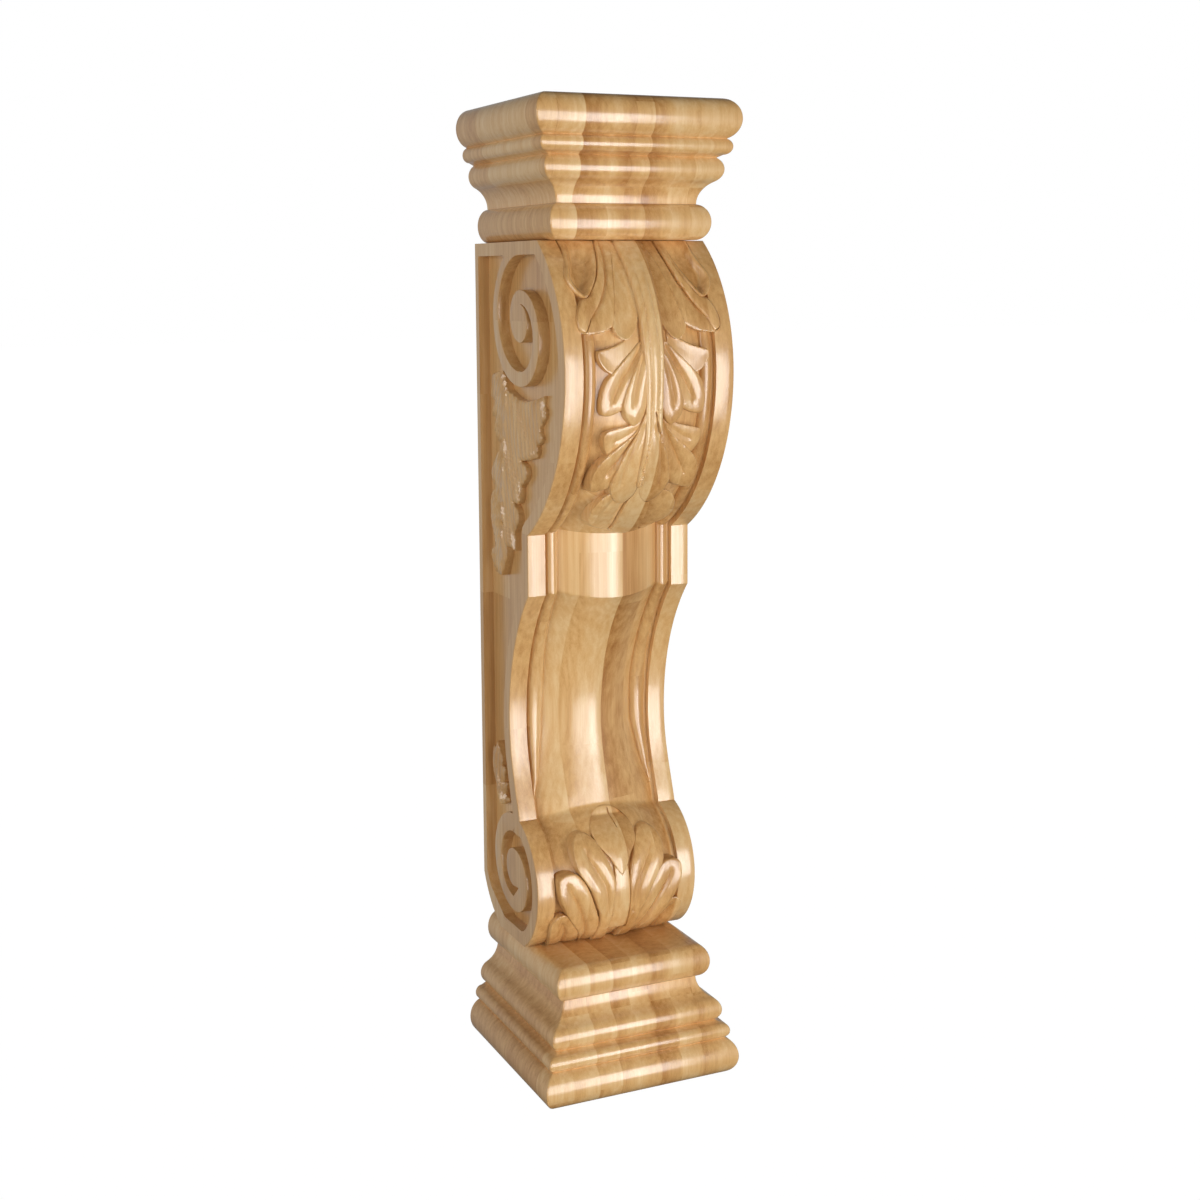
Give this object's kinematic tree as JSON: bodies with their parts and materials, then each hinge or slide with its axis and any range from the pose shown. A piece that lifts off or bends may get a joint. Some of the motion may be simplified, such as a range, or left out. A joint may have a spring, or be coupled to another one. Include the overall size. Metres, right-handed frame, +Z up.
{
  "type": "carved fireplace corbel",
  "caption": "Tall scrolled wooden corbel with acanthus leaves, side volutes and moulded capital and base, for carrying a mantel shelf beside a fireplace.",
  "frame": {"origin": "centre of the bounding box on the underside of the base", "axes": "+Z up, carved front towards -Y, flat back towards +Y, +X to the right seen from the front"},
  "size_m": [0.2, 0.222, 0.9144],
  "materials": {
    "wood": "clear satin lacquer over light hardwood glued up from staves"
  },
  "bodies": {
    "root": {"base": "wood", "body": "wood", "capital": "wood"}
  },
  "joints": []
}
